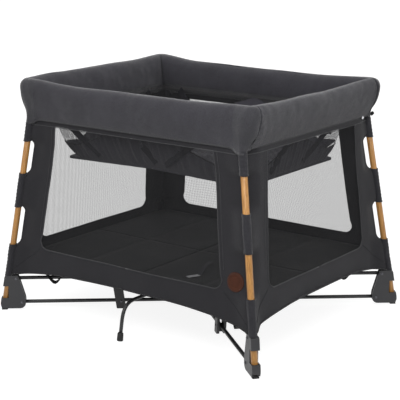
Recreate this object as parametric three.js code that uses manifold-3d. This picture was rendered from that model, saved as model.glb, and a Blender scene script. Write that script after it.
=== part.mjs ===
// Travel play yard: four splayed legs, a strut mechanism that gathers them round a centre hub,
// hinged top rails, a fabric tub, a padded rail cover, a hanging upper tray and a folding floor pad.
// Millimetres. +Z is up, X is the long side, Y the short side. The origin is on the floor, at the centre.
import * as THREE from 'three';
import { mergeVertices } from 'three/addons/utils/BufferGeometryUtils.js';
import Module from 'manifold-3d';

const wasm = await Module();
wasm.setup();

// ---- driving dimensions ----
const GAP = 0.4;                       // clearance left between separate pieces
const CUT = 2;                         // how far a cutting tool reaches past what it cuts
const FAR = 200;                       // well outside any part that a slot is cut in

// legs: each axis runs from its foot, on the floor, to its top
const FOOT = { x: 502.5, y: 411.5 };
const SPLAY = { x: 0.1442, y: 0.0934 };
const LEG_RADIUS = 10;
const LEG_WALL = 1.3;
const LEG_START = 8;
const LEG_TOP = 664;

// the struts run along each diagonal, a parallelogram between a foot bracket and the hub
const DIAGONAL = { x: 0.7737, y: 0.6336 };
const STRUT_LENGTH = 515;
const STRUT_RADIUS = 6;
const STRUT_WALL = 1.2;
const STRUT_SIDES = 10;
const STRUT_END = 8;                   // a strut goes this far past its pivots
const SWING_ROOM = 0.6;                // clearance round an end that turns in a slot
const STRUT_SWING = Math.hypot(STRUT_END, STRUT_RADIUS) + SWING_ROOM;
const PIVOT_LOW = { r: 589, z: 25 };   // where the lower strut meets the foot bracket
const PIVOT_HIGH = { r: 606, z: 107 }; // where the upper strut meets it
const PIN_RADIUS = 3;
const PIN_CLEARANCE = 0.3;
const PIN_SIDES = 8;
const TUBE_SIDES = 12;
const SLOT_WIDTH = 13.6;

// foot bracket: a plate on the diagonal plane, outlined in radius and height
const BRACKET_THICKNESS = 26;
const BRACKET_TOP = 118;
const BRACKET_FOOT = 5;                // the bracket's underside, on top of its pad
const BRACKET_OUTLINE = [
  [577, 13, 8], [590, BRACKET_FOOT, 5], [655, BRACKET_FOOT, 4], [660, 20, 6],
  [643, BRACKET_TOP, 6], [599, BRACKET_TOP, 6], [576, 38, 8],
];
const WINDOW = { low: 41, high: 82, from: 632 };   // the opening that shows the leg
const FOOT_PAD = { width: 20, low: [636, 658], high: [637, 656], corner: 3 };
const RIVET_HEAD = 1.5;                // a pin's head stands out this far

// strut knuckle, halfway along, which stands on the floor
const KNUCKLE_AT = 327;                // from the foot end of the strut
const KNUCKLE = { half: 15, above: 10, topCorner: 8, footCorner: 3, cheek: 8.2 };
const KNUCKLE_WEB = { low: -12, high: -6, top: 17.5 };   // joins the two cheeks below the strut
const CHEEK = 4.5;

// hub
const HUB_SIDES = 24;
const HUB = { radius: 60, wall: 5, low: 14, high: 132, cheekEnd: 103 };
const CHEEK_ROOT = HUB.radius - 18;    // the hub's cheeks start inside its wall
const HANDLE = { stem: 11, flange: 8, low: 96, top: 154, width: 80, depth: 20, grip: 10, bar: 4, rise: 1 };

// curved centre legs
const CENTRE = { pivotY: 76, z: 115, reach: 365, bendY: 402, bendZ: 58, footY: 411, radius: 5.8, wall: 1.2 };
const CENTRE_X = { front: 0, back: -21 };   // apart, so that they pass each other when folded
const CENTRE_EAR = { beyond: 8, half: 9 };
const CENTRE_CAP = { radius: 10, high: 27, lean: 3.5 };

// top rails
const RAIL_Z = 720;
const RAIL_RADIUS = 8;
const RAIL_WALL = 1.2;
const RAIL_PLANE = { long: 335, short: 425 };
const RAIL_PIVOT = { long: STRUT_LENGTH * DIAGONAL.x, short: STRUT_LENGTH * DIAGONAL.y };
const RAIL_TUBE_START = 45;            // the tube ends this far from the middle hinge
const RAIL_END = 6;                    // and goes this far past its outer pivot
const RAIL_SLOT = RAIL_RADIUS + SWING_ROOM;
const RAIL_SWING = Math.hypot(RAIL_END, RAIL_RADIUS) + SWING_ROOM;
const JOINT = { inner: 12, outer: 13, side: 14, below: 11, above: 13, web: 24, socket: 2.4 };
const TONGUE = { thickness: 5, offset: 3.6, radius: 7.5, inside: 12 };

// soft goods
const PANEL = { thickness: 3, top: 634, sleeve: 13, bare: 24, middle: 1.2 };
const BARE = [[225, 351], [463, 568]]; // heights where the panel stands clear of the leg
const COVER = {
  top: { x: 453.6, y: 359.7 },
  bottom: { x: 430, y: 368 },
  high: 757,
  low: 640,
  roof: 10,
  wall: 3,
  inner: 58,
};
const PAD = { x: 450, y: 372, low: 168, high: 193, corner: 42 };
const TRAY = { x: 393, y: 318, low: 506, high: 612, wall: 5, floor: 6, taper: 10 };

// how far a strut's outer end is from its hub pivot, on the diagonal
const HUB_LOW = { r: PIVOT_LOW.r - STRUT_LENGTH, z: PIVOT_LOW.z };
const HUB_HIGH = { r: PIVOT_HIGH.r - STRUT_LENGTH, z: PIVOT_HIGH.z };

const CORNERS = [
  { name: 'back_left', sx: -1, sy: 1 },
  { name: 'back_right', sx: 1, sy: 1 },
  { name: 'front_left', sx: -1, sy: -1 },
  { name: 'front_right', sx: 1, sy: -1 },
];

// ---- materials ----
const finish = (color, roughness, metalness) => () =>
  new THREE.MeshStandardMaterial({ color, roughness, metalness });
const wood = finish(0xb5884f, 0.5, 0.0);
const plastic = finish(0x414143, 0.55, 0.0);
const blackTube = finish(0x1d1d1f, 0.45, 0.6);
const fabric = finish(0x3a3a3d, 0.95, 0.0);
const sidePanel = finish(0x333337, 0.95, 0.0);
const padding = finish(0x2c2c2f, 0.95, 0.0);
const rubber = finish(0x1a1a1a, 0.9, 0.0);

// ---- joining and cutting ----
function toSolid(geometry, matrix = new THREE.Matrix4()) {
  const bare = geometry.index ? geometry.toNonIndexed() : geometry.clone();
  bare.deleteAttribute('normal');
  bare.deleteAttribute('uv');
  bare.applyMatrix4(matrix);
  const merged = mergeVertices(bare, 1e-4);
  return new wasm.Manifold(new wasm.Mesh({
    numProp: 3,
    vertProperties: new Float32Array(merged.attributes.position.array),
    triVerts: new Uint32Array(merged.index.array),
  }));
}

function toGeometry(solid) {
  const mesh = solid.getMesh();
  const geometry = new THREE.BufferGeometry();
  geometry.setAttribute('position', new THREE.BufferAttribute(mesh.vertProperties, 3));
  geometry.setIndex(new THREE.BufferAttribute(mesh.triVerts, 1));
  geometry.computeVertexNormals();
  return geometry;
}

const join = (solids) => solids.reduce((a, b) => a.add(b));
const cut = (solid, tools) => tools.reduce((a, b) => a.subtract(b), solid);

// ---- plain shapes ----
const vector = (x, y, z) => new THREE.Vector3(x, y, z);

function box(low, high) {
  const size = high.map((value, i) => value - low[i]);
  const middle = high.map((value, i) => (value + low[i]) / 2);
  return toSolid(new THREE.BoxGeometry(...size), new THREE.Matrix4().makeTranslation(...middle));
}

function rod(from, to, radius, sides = TUBE_SIDES) {
  const along = to.clone().sub(from);
  const turn = new THREE.Quaternion().setFromUnitVectors(vector(0, 1, 0), along.clone().normalize());
  const middle = from.clone().add(to).multiplyScalar(0.5);
  const matrix = new THREE.Matrix4().compose(middle, turn, vector(1, 1, 1));
  return toSolid(new THREE.CylinderGeometry(radius, radius, along.length(), sides), matrix);
}

// a plate whose outline is in X and Z, centred on Y = 0
function plateXZ(points, thickness) {
  const shape = new THREE.Shape(points.map(([x, z]) => new THREE.Vector2(x, z)));
  const geometry = new THREE.ExtrudeGeometry(shape, { depth: thickness, bevelEnabled: false });
  const matrix = new THREE.Matrix4().makeRotationX(Math.PI / 2);
  matrix.premultiply(new THREE.Matrix4().makeTranslation(0, thickness / 2, 0));
  return toSolid(geometry, matrix);
}

// a solid between a rectangle low down and another one higher up
function frustum(lowZ, lowHalf, highZ, highHalf) {
  const geometry = new THREE.BoxGeometry(2, 2, 2);
  const place = geometry.attributes.position;
  for (let i = 0; i < place.count; i += 1) {
    const half = place.getZ(i) > 0 ? highHalf : lowHalf;
    const z = place.getZ(i) > 0 ? highZ : lowZ;
    place.setXYZ(i, place.getX(i) * half.x, place.getY(i) * half.y, z);
  }
  return toSolid(geometry);
}

// an outline with its corners rounded, each entry [a, b, radius]
function rounded(points, steps = 2) {
  const path = [];
  points.forEach(([a, b, radius], i) => {
    const here = new THREE.Vector2(a, b);
    const before = new THREE.Vector2(...points[(i + points.length - 1) % points.length].slice(0, 2));
    const after = new THREE.Vector2(...points[(i + 1) % points.length].slice(0, 2));
    if (!radius) {
      path.push([a, b]);
      return;
    }
    const start = here.clone().add(before.sub(here).setLength(radius));
    const end = here.clone().add(after.sub(here).setLength(radius));
    const curve = new THREE.QuadraticBezierCurve(start, here, end);
    curve.getPoints(steps).forEach((p) => path.push([p.x, p.y]));
  });
  return path;
}

// ---- where things are ----
const legX = (z) => FOOT.x - SPLAY.x * z;
const legY = (z) => FOOT.y - SPLAY.y * z;
const onLeg = (corner, z) => vector(corner.sx * legX(z), corner.sy * legY(z), z);
const angleOf = (corner) => Math.atan2(corner.sy * DIAGONAL.y, corner.sx * DIAGONAL.x);

// a solid made with +X pointing outward along a diagonal, turned to stand at its corner
function atCorner(solid, corner) {
  const degrees = THREE.MathUtils.radToDeg(angleOf(corner));
  return solid.rotate([0, 0, degrees]);
}

// a solid made for the +X +Y corner, mirrored to stand at its corner
function mirrored(solid, corner) {
  let made = solid;
  if (corner.sx < 0) made = made.mirror([1, 0, 0]);
  if (corner.sy < 0) made = made.mirror([0, 1, 0]);
  return made;
}

const quadrant = (gap) => box([gap, gap, 0], [900, 900, 900]);
const acrossPin = (pivot, half, radius = PIN_RADIUS) =>
  rod(vector(pivot.r, -half, pivot.z), vector(pivot.r, half, pivot.z), radius, PIN_SIDES);

// ---- frame ----
function legTube(corner) {
  const outer = rod(onLeg(corner, LEG_START), onLeg(corner, LEG_TOP), LEG_RADIUS);
  const bore = rod(onLeg(corner, LEG_START - CUT), onLeg(corner, LEG_TOP + CUT), LEG_RADIUS - LEG_WALL);
  return cut(outer, [bore]);
}

function footBracket(corner) {
  const half = BRACKET_THICKNESS / 2;
  const plate = atCorner(plateXZ(rounded(BRACKET_OUTLINE), BRACKET_THICKNESS), corner);
  const slot = (outer, low, high) => {
    const from = [PIVOT_LOW.r - FAR, -SLOT_WIDTH / 2, low];
    return atCorner(box(from, [outer, SLOT_WIDTH / 2, high]), corner);
  };
  const slots = [
    slot(PIVOT_LOW.r + STRUT_SWING, -CUT, 60),
    slot(PIVOT_LOW.r + STRUT_RADIUS, 15, FAR),
    slot(PIVOT_HIGH.r + STRUT_SWING, PIVOT_HIGH.z - STRUT_SWING, FAR),
  ];
  const window = atCorner(box([WINDOW.from, -half - CUT, WINDOW.low], [700, half + CUT, WINDOW.high]), corner);
  const legBore = rod(onLeg(corner, LEG_START - GAP), onLeg(corner, FAR), LEG_RADIUS + GAP);
  const pins = [PIVOT_LOW, PIVOT_HIGH].map((p) => atCorner(acrossPin(p, half + RIVET_HEAD), corner));
  return join([cut(plate, [...slots, window, legBore]), ...pins]);
}

function footPad(corner) {
  const { width, low, high, corner: radius } = FOOT_PAD;
  const top = BRACKET_FOOT - GAP;
  const outline = rounded([[low[0], 0, radius], [low[1], 0, radius], [high[1], top, 0], [high[0], top, 0]]);
  return atCorner(plateXZ(outline, width), corner);
}

function strut(corner, pivot, hubPivot) {
  const from = vector(hubPivot.r - STRUT_END, 0, pivot.z);
  const to = vector(pivot.r + STRUT_END, 0, pivot.z);
  const more = vector(CUT, 0, 0);
  const bore = rod(from.clone().sub(more), to.clone().add(more), STRUT_RADIUS - STRUT_WALL, STRUT_SIDES);
  const middle = { r: pivot.r - KNUCKLE_AT, z: pivot.z };
  const holes = [pivot, middle, hubPivot].map((p) => acrossPin(p, 20, PIN_RADIUS + PIN_CLEARANCE));
  return atCorner(cut(rod(from, to, STRUT_RADIUS, STRUT_SIDES), [bore, ...holes]), corner);
}

function knuckle(corner) {
  const { half, above, topCorner, footCorner, cheek } = KNUCKLE;
  const low = { r: PIVOT_LOW.r - KNUCKLE_AT, z: PIVOT_LOW.z };
  const high = { r: PIVOT_HIGH.r - KNUCKLE_AT, z: PIVOT_HIGH.z };
  const outline = rounded([
    [low.r - half, 0, footCorner], [low.r + half, 0, footCorner],
    [high.r + half, high.z + above, topCorner], [high.r - half, high.z + above, topCorner],
  ]);
  const width = SLOT_WIDTH + 2 * cheek;
  const slot = box([low.r - FAR, -SLOT_WIDTH / 2, -CUT], [high.r + FAR, SLOT_WIDTH / 2, FAR]);
  const cheeks = cut(plateXZ(outline, width), [slot]);
  const side = width / 2 - 1;
  const web = box([low.r + KNUCKLE_WEB.low, -side, 0], [low.r + KNUCKLE_WEB.high, side, KNUCKLE_WEB.top]);
  const pins = [low, high].map((p) => acrossPin(p, width / 2 + 1));
  return atCorner(join([cheeks, web, ...pins]), corner);
}

// a solid made for the back, at X = 0, moved to where the front or the back centre leg is
function toCentreSide(solid, name) {
  const turned = name === 'front' ? solid.mirror([0, 1, 0]) : solid;
  return turned.translate([CENTRE_X[name], 0, 0]);
}

function hubBody() {
  const half = SLOT_WIDTH / 2 + CHEEK;
  const cup = rod(vector(0, 0, HUB.low), vector(0, 0, HUB.high), HUB.radius, HUB_SIDES);
  const pieces = [cup];
  const slots = [];
  const pins = [];
  for (const corner of CORNERS) {
    const outline = rounded([
      [CHEEK_ROOT, HUB.low, 0], [HUB_LOW.r + 12, HUB.low, 8],
      [HUB.cheekEnd, PIVOT_HIGH.z - 8, 8], [HUB.cheekEnd, PIVOT_HIGH.z + 11, 6],
      [CHEEK_ROOT, PIVOT_HIGH.z + 14, 0],
    ]);
    pieces.push(atCorner(plateXZ(outline, 2 * half), corner));
    slots.push(atCorner(box([HUB.radius + 3, -SLOT_WIDTH / 2, -CUT], [FAR, SLOT_WIDTH / 2, FAR]), corner));
    pins.push(...[HUB_LOW, HUB_HIGH].map((p) => atCorner(acrossPin(p, half + 1), corner)));
  }
  for (const name of ['front', 'back']) {
    const { pivotY, z } = CENTRE;
    const { beyond, half: tall } = CENTRE_EAR;
    const ears = box([-half, HUB.radius / 2, z - tall], [half, pivotY + beyond, z + tall]);
    const gap = box([-SLOT_WIDTH / 2, pivotY - tall - SWING_ROOM, 0], [SLOT_WIDTH / 2, FAR, FAR]);
    const pin = rod(vector(-half - 1, pivotY, z), vector(half + 1, pivotY, z), PIN_RADIUS, PIN_SIDES);
    pieces.push(toCentreSide(ears, name));
    slots.push(toCentreSide(gap, name));
    pins.push(toCentreSide(pin, name));
  }
  const inside = rod(vector(0, 0, -CUT), vector(0, 0, HUB.high - HUB.wall), HUB.radius - HUB.wall, HUB_SIDES);
  const stemHole = rod(vector(0, 0, 0), vector(0, 0, FAR), HANDLE.stem + GAP);
  return join([cut(join(pieces), [...slots, inside, stemHole]), ...pins]);
}

// a stem through the hub's top, with a flange below and a finger loop above
function pullHandle() {
  const { stem: radius, flange: rim, low, top, width, depth, grip, bar, rise } = HANDLE;
  const half = width / 2;
  const foot = HUB.high + rise;
  const stem = rod(vector(0, 0, low), vector(0, 0, HUB.high + bar), radius);
  const flange = rod(vector(0, 0, low), vector(0, 0, low + HUB.wall), radius + rim);
  const loop = plateXZ(rounded([[-half, foot, 2], [half, foot, 2], [half, top, 6], [-half, top, 6]]), depth);
  const fingers = box([grip - half, -depth, foot + bar], [half - grip, depth, top - bar]);
  return join([cut(loop, [fingers]), stem, flange]);
}

// the path that a centre leg's tube follows, going outward along +Y
function centrePath() {
  const { pivotY, z, reach, bendY, bendZ, footY } = CENTRE;
  const path = new THREE.CurvePath();
  path.add(new THREE.LineCurve3(vector(0, pivotY - 7, z), vector(0, reach - 25, z)));
  path.add(new THREE.CubicBezierCurve3(
    vector(0, reach - 25, z), vector(0, reach + 14, z), vector(0, bendY - 7, z - 18), vector(0, bendY, bendZ),
  ));
  path.add(new THREE.LineCurve3(vector(0, bendY, bendZ), vector(0, footY, 12)));
  return path;
}

function centreLeg(name) {
  const path = centrePath();
  const sweep = (radius, sides) => {
    const shape = new THREE.Shape();
    shape.absarc(0, 0, radius, 0, 2 * Math.PI, false);
    const options = { steps: 18, curveSegments: sides, extrudePath: path, bevelEnabled: false };
    return toSolid(new THREE.ExtrudeGeometry(shape, options));
  };
  const { pivotY, z, reach, footY, radius, wall } = CENTRE;
  const { radius: capRadius, high, lean } = CENTRE_CAP;
  const hole = rod(vector(-20, pivotY, z), vector(20, pivotY, z), PIN_RADIUS + PIN_CLEARANCE, PIN_SIDES);
  const bore = rod(vector(0, pivotY - 20, z), vector(0, reach - 26, z), radius - wall, 8);
  const cap = rod(vector(0, footY + 2, -10), vector(0, footY - lean, high), capRadius);
  const floor = box([-50, 0, -50], [50, footY + FAR, 0]);
  const leg = cut(join([sweep(radius, 5), cap]), [bore, hole, floor]);
  return toCentreSide(leg, name);
}

// ---- top rails ----
// made for the +X +Y corner: it holds the leg's top and both rails' outer ends
function cornerJoint(corner) {
  const { long, short } = RAIL_PIVOT;
  const { inner, outer, side, below, above, web, socket } = JOINT;
  const plane = RAIL_PLANE;
  const z = RAIL_Z;
  const one = { sx: 1, sy: 1 };
  const body = join([
    box([long - inner, plane.long - side, z - below], [long + outer, plane.long + side, z + above]),
    box([plane.short - side, short - inner, z - below], [plane.short + side, short + outer, z + above]),
    box([long - 4, plane.long - 4, z - web], [plane.short + 9, plane.long + 16, z + above]),
    rod(onLeg(one, LEG_TOP - 18), onLeg(one, z + 2), LEG_RADIUS + socket),
  ]);
  const end = z + RAIL_SWING;
  const openings = [
    rod(onLeg(one, LEG_TOP - 40), onLeg(one, LEG_TOP + GAP), LEG_RADIUS + GAP),
    box([0, plane.long - RAIL_SLOT, 500], [long + RAIL_SWING, plane.long + RAIL_SLOT, end]),
    box([plane.short - RAIL_SLOT, 0, 500], [plane.short + RAIL_SLOT, short + RAIL_SWING, end]),
  ];
  const pins = [
    rod(vector(long, plane.long - side, z), vector(long, plane.long + side, z), PIN_RADIUS, PIN_SIDES),
    rod(vector(plane.short - side, short, z), vector(plane.short + side, short, z), PIN_RADIUS, PIN_SIDES),
  ];
  return mirrored(join([cut(body, openings), ...pins]), corner);
}

// made for the +X side, along X, then turned for a short rail; side is which way the half points
function railHalf(corner, kind) {
  const pivot = RAIL_PIVOT[kind];
  const tongueSide = (kind === 'long' ? corner.sx : corner.sy) > 0 ? 1 : -1;
  const outer = rod(vector(RAIL_TUBE_START, 0, RAIL_Z), vector(pivot + RAIL_END, 0, RAIL_Z), RAIL_RADIUS);
  const bore = rod(vector(RAIL_TUBE_START - CUT, 0, RAIL_Z), vector(pivot + 20, 0, RAIL_Z),
    RAIL_RADIUS - RAIL_WALL);
  const { thickness, offset, radius, inside } = TONGUE;
  const reach = RAIL_TUBE_START + inside;
  const blade = box([0, -thickness / 2, RAIL_Z - 5.4], [reach, thickness / 2, RAIL_Z + 5.4]);
  const eye = rod(vector(0, -thickness / 2, RAIL_Z), vector(0, thickness / 2, RAIL_Z), radius);
  const tongue = join([blade, eye]).translate([0, tongueSide * offset, 0]);
  const hole = (x) => rod(vector(x, -20, RAIL_Z), vector(x, 20, RAIL_Z), PIN_RADIUS + PIN_CLEARANCE, PIN_SIDES);
  let half = join([cut(outer, [bore, hole(pivot)]), tongue]);
  const span = offset + thickness / 2;
  if (tongueSide > 0) {
    const pin = rod(vector(0, -span - RIVET_HEAD, RAIL_Z), vector(0, span, RAIL_Z), PIN_RADIUS, PIN_SIDES);
    half = join([half, pin]);
  } else {
    half = cut(half, [hole(0)]);
  }
  if (kind === 'long') {
    const made = corner.sx < 0 ? half.mirror([1, 0, 0]) : half;
    return made.translate([0, corner.sy * RAIL_PLANE.long, 0]);
  }
  const along = corner.sy < 0 ? half.mirror([1, 0, 0]) : half;
  return along.rotate([0, 0, 90]).mirror([1, 0, 0]).translate([corner.sx * RAIL_PLANE.short, 0, 0]);
}

// ---- soft goods ----
// half of a side, from the leg to the middle, as a flat slab that leans with its two legs
function panelOutline(half, lean, edge) {
  const points = [[PANEL.middle / 2, 158], [half * 0.62, 149], [half * 0.9, 131]];
  const nearLeg = (z, off) => points.push([half - lean * z - off, z]);
  nearLeg(120, PANEL.sleeve);
  for (const [low, high] of BARE) {
    nearLeg(low, PANEL.sleeve);
    nearLeg(low + 6, PANEL.bare);
    nearLeg(high - 6, PANEL.bare);
    nearLeg(high, PANEL.sleeve);
  }
  nearLeg(edge, PANEL.sleeve);
  points.push([PANEL.middle / 2, edge]);
  return points;
}

function sidePanelHalf(corner, kind) {
  const long = kind === 'long';
  const outline = panelOutline(long ? FOOT.x : FOOT.y, long ? SPLAY.x : SPLAY.y, PANEL.top);
  const slab = plateXZ(outline, PANEL.thickness);
  const lean = long ? SPLAY.y : SPLAY.x;
  const shear = [1, 0, 0, 0, 0, 1, 0, 0, 0, -lean, 1, 0, 0, long ? FOOT.y : FOOT.x, 0, 1];
  let made = slab.transform(shear);
  if (!long) made = made.rotate([0, 0, 90]).mirror([1, 0, 0]);
  return mirrored(made, corner);
}

// one corner of the padded rail cover: an upside-down channel over the rails
function railCover(corner) {
  const { top, bottom, high, low, roof, wall, inner } = COVER;
  const less = (size, by) => ({ x: size.x - by, y: size.y - by });
  const outside = frustum(low, bottom, high, top);
  const hollow = frustum(low - CUT, less(bottom, inner), high + CUT, less(top, inner));
  const channel = cut(
    frustum(low - CUT, less(bottom, wall), high - roof, less(top, wall)),
    [frustum(low - CUT, less(bottom, inner - wall), high - roof, less(top, inner - wall))],
  );
  const ring = cut(outside, [hollow, channel]).intersect(quadrant(PANEL.middle / 2));
  return mirrored(ring, corner);
}

function floorPad(corner) {
  const { x, y, low, high, corner: chamfer } = PAD;
  const first = PANEL.middle / 2;
  const shape = new THREE.Shape([
    [first, first], [x, first], [x, y - chamfer], [x - chamfer, y], [first, y],
  ].map(([a, b]) => new THREE.Vector2(a, b)));
  const slab = new THREE.ExtrudeGeometry(shape, { depth: high - low, bevelEnabled: false });
  return mirrored(toSolid(slab, new THREE.Matrix4().makeTranslation(0, 0, low)), corner);
}

function upperTray(corner) {
  const { x, y, low, high, wall, floor, taper } = TRAY;
  const outside = frustum(low, { x: x - taper, y: y - taper }, high, { x, y });
  const inside = frustum(low + floor, { x: x - taper - wall, y: y - taper - wall }, high + CUT,
    { x: x - wall, y: y - wall });
  return mirrored(cut(outside, [inside]).intersect(quadrant(PANEL.middle / 2)), corner);
}

// ---- the play yard ----
const yard = new THREE.Group();

function add(name, solid, material) {
  const mesh = new THREE.Mesh(toGeometry(solid), material());
  mesh.name = name;
  yard.add(mesh);
}

for (const corner of CORNERS) {
  const at = corner.name;
  add(`leg_tube_${at}`, legTube(corner), wood);
  add(`foot_bracket_${at}`, footBracket(corner), plastic);
  add(`foot_pad_${at}`, footPad(corner), rubber);
  add(`lower_strut_${at}`, strut(corner, PIVOT_LOW, HUB_LOW), blackTube);
  add(`upper_strut_${at}`, strut(corner, PIVOT_HIGH, HUB_HIGH), blackTube);
  add(`strut_knuckle_${at}`, knuckle(corner), plastic);
  add(`corner_joint_${at}`, cornerJoint(corner), plastic);
  add(`long_rail_${at}`, railHalf(corner, 'long'), blackTube);
  add(`short_rail_${at}`, railHalf(corner, 'short'), blackTube);
  add(`long_panel_${at}`, sidePanelHalf(corner, 'long'), sidePanel);
  add(`short_panel_${at}`, sidePanelHalf(corner, 'short'), sidePanel);
  add(`rail_cover_${at}`, railCover(corner), fabric);
  add(`floor_pad_${at}`, floorPad(corner), padding);
  add(`upper_tray_${at}`, upperTray(corner), fabric);
}

add('hub', hubBody(), plastic);
add('pull_handle', pullHandle(), plastic);
for (const name of ['front', 'back']) {
  add(`centre_leg_${name}`, centreLeg(name), blackTube);
}

export default yard;
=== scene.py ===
"""Looks of the travel play yard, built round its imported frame. Metres, +Z up, +X along the long side."""
import math

import bmesh
import bpy
import numpy as np
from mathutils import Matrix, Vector, noise


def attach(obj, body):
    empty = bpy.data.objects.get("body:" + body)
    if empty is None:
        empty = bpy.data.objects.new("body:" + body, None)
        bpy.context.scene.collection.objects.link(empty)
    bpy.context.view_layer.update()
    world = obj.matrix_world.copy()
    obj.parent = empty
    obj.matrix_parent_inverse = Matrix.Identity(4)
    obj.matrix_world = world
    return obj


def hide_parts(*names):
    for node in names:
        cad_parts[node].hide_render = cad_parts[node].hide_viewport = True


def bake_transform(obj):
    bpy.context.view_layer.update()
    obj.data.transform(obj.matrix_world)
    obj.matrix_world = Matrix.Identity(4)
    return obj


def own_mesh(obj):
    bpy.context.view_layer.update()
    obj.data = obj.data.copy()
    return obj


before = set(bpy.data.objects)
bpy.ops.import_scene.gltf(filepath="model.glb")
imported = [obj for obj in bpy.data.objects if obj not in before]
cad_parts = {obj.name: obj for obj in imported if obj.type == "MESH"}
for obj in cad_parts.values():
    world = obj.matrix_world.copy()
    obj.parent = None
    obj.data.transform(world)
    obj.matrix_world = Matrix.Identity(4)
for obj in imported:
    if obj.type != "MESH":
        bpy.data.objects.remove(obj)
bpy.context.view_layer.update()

# ---- driving dimensions, as in the frame ----
CORNERS = {"back_left": (-1, 1), "back_right": (1, 1), "front_left": (-1, -1), "front_right": (1, -1)}
FOOT = (0.5025, 0.4115)          # a leg's axis where it meets the floor
SPLAY = (0.1442, 0.0934)         # how far it leans in, for each metre up
LEG_R = 0.010
DIAGONAL = (0.7737, 0.6336)
PIVOT_LOW = (0.589, 0.025)       # foot bracket pivots, as radius on the diagonal and height
PIVOT_HIGH = (0.606, 0.107)
STRUT = 0.515
STRUT_R = 0.006
KNUCKLE = 0.327
CENTRE_Z = 0.115
CENTRE_X = {"front": 0.0, "back": -0.021}        # they pass each other when folded

PANEL_FOOT, PANEL_TOP = 0.121, 0.652       # where a side's edge leaves the hem, and its top
WINDOW_LOW, WINDOW_TOP = (0.2246, 0.220), 0.625     # for the long and the short sides
WINDOW_HALF = ((0.3572, 0.126), (0.2752, 0.066))    # half width where the window starts, and its taper
WINDOW_CORNER = 0.030
HEM = ((0.1546, 0.0346), (0.1500, 0.0300))          # lower edge in the middle, and how far it dips to a leg
INSET = ((0.0115, 0.0), (0.0145, 0.066))            # how far a wall stands inside its legs, and its change
BARE = ((0.225, 0.351), (0.463, 0.568))             # heights where wood shows
SLEEVES = ((0.118, 0.225), (0.351, 0.463), (0.568, 0.652))
SLEEVE_R = 0.0128
EDGE_NEAR, EDGE_FAR = 0.0115, 0.0165                # panel edge from the leg's axis
TUB_CORNER = 0.0165                                 # the tub's corner from the axis, where wood shows

COVER_LOW = 0.640
PAD_LOW, PAD_HIGH = 0.168, 0.193
PAD_HALF = (0.450, 0.372)
PAD_CUT = 0.040                   # the pad's outer corners are cut off by this much
TRAY_LOW, TRAY_HIGH = 0.506, 0.660
TRAY_HALF = (0.386, 0.313)        # at the top
TRAY_FLOOR = (0.348, 0.245)
TRAY_HINGE = 0.009                # its middle hinge stands this much higher
# netting starts at a slanting line in the tray's corners: where its low end is, the height there, the slope
TRAY_NET_LINE = {"long": (0.30, 0.556, 0.36), "short": (0.22, 0.550, 0.30)}
FLOOR_Z = 0.161
FLOOR_EDGE_Z = 0.14               # the height at which the cloth floor's size is taken from the legs
HANDLE_ROOM = 0.0048              # the cloth floor is raised this much over the pull handle


# ---- materials ----
class Material:
    """A node material with short calls for the nodes that repeat."""

    def __init__(self, name, color, roughness, metallic=0.0):
        self.material = bpy.data.materials.new(name)
        self.material.use_nodes = True
        self.nodes = self.material.node_tree.nodes
        self.links = self.material.node_tree.links
        self.shader = self.nodes["Principled BSDF"]
        self.set("Base Color", (*color, 1))
        self.set("Roughness", roughness)
        self.set("Metallic", metallic)
        self.place = self.nodes.new("ShaderNodeTexCoord").outputs["Object"]

    def set(self, socket, value):
        self.shader.inputs[socket].default_value = value

    def join(self, output, target):
        self.links.new(output, target)

    def node(self, kind, **inputs):
        """A new node. Each input is either a value or another node's output."""
        node = self.nodes.new("ShaderNode" + kind)
        for name, value in inputs.items():
            if isinstance(value, bpy.types.NodeSocket):
                self.join(value, node.inputs[name])
            else:
                node.inputs[name].default_value = value
        return node

    def math(self, kind, a, b=0.0):
        node = self.nodes.new("ShaderNodeMath")
        node.operation = kind
        for socket, value in zip(node.inputs, (a, b)):
            if isinstance(value, (int, float)):
                socket.default_value = value
            else:
                self.join(value, socket)
        return node.outputs[0]

    def noise(self, scale, detail=3.0, stretch=(1, 1, 1), roughness=0.6):
        place = self.node("Mapping", Scale=stretch, Vector=self.place).outputs[0]
        node = self.node("TexNoise", Scale=scale, Detail=detail, Roughness=roughness, Vector=place)
        return node.outputs["Fac"]

    def ramp(self, value, *stops):
        node = self.node("ValToRGB", Fac=value)
        ramp = node.color_ramp
        while len(ramp.elements) < len(stops):
            ramp.elements.new(0.5)
        for element, (position, color) in zip(ramp.elements, stops):
            element.position = position
            element.color = (*color, 1)
        return node.outputs["Color"]

    def bump(self, height, strength, distance):
        node = self.node("Bump", Strength=strength, Distance=distance, Height=height)
        self.join(node.outputs["Normal"], self.shader.inputs["Normal"])

    def mixed(self, a, share_a, b, share_b):
        """Both values, each times its share, added."""
        return self.math("ADD", self.math("MULTIPLY", a, share_a), self.math("MULTIPLY", b, share_b))

    def tones(self, value, color, *stops):
        """Paints the surface with color, brighter or darker by value. A stop is a position and a share."""
        tone = self.ramp(value, *((at, shade(color, share)) for at, share in stops))
        self.join(tone, self.shader.inputs["Base Color"])

    def axes(self):
        node = self.node("SeparateXYZ", Vector=self.place)
        return node.outputs["X"], node.outputs["Y"], node.outputs["Z"]

    def twill(self, pitch):
        """Height of a weave whose threads are pitch apart, on any side of a box."""
        x, y, z = self.axes()
        turn = 2 * math.pi / pitch
        across = self.math("SINE", self.math("MULTIPLY", self.math("ADD", x, y), turn))
        slant = self.math("SUBTRACT", self.math("ADD", z, x), y)
        along = self.math("SINE", self.math("MULTIPLY", slant, turn))
        return self.math("MULTIPLY", across, along)


def shade(color, share):
    return tuple(c * share for c in color)


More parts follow.
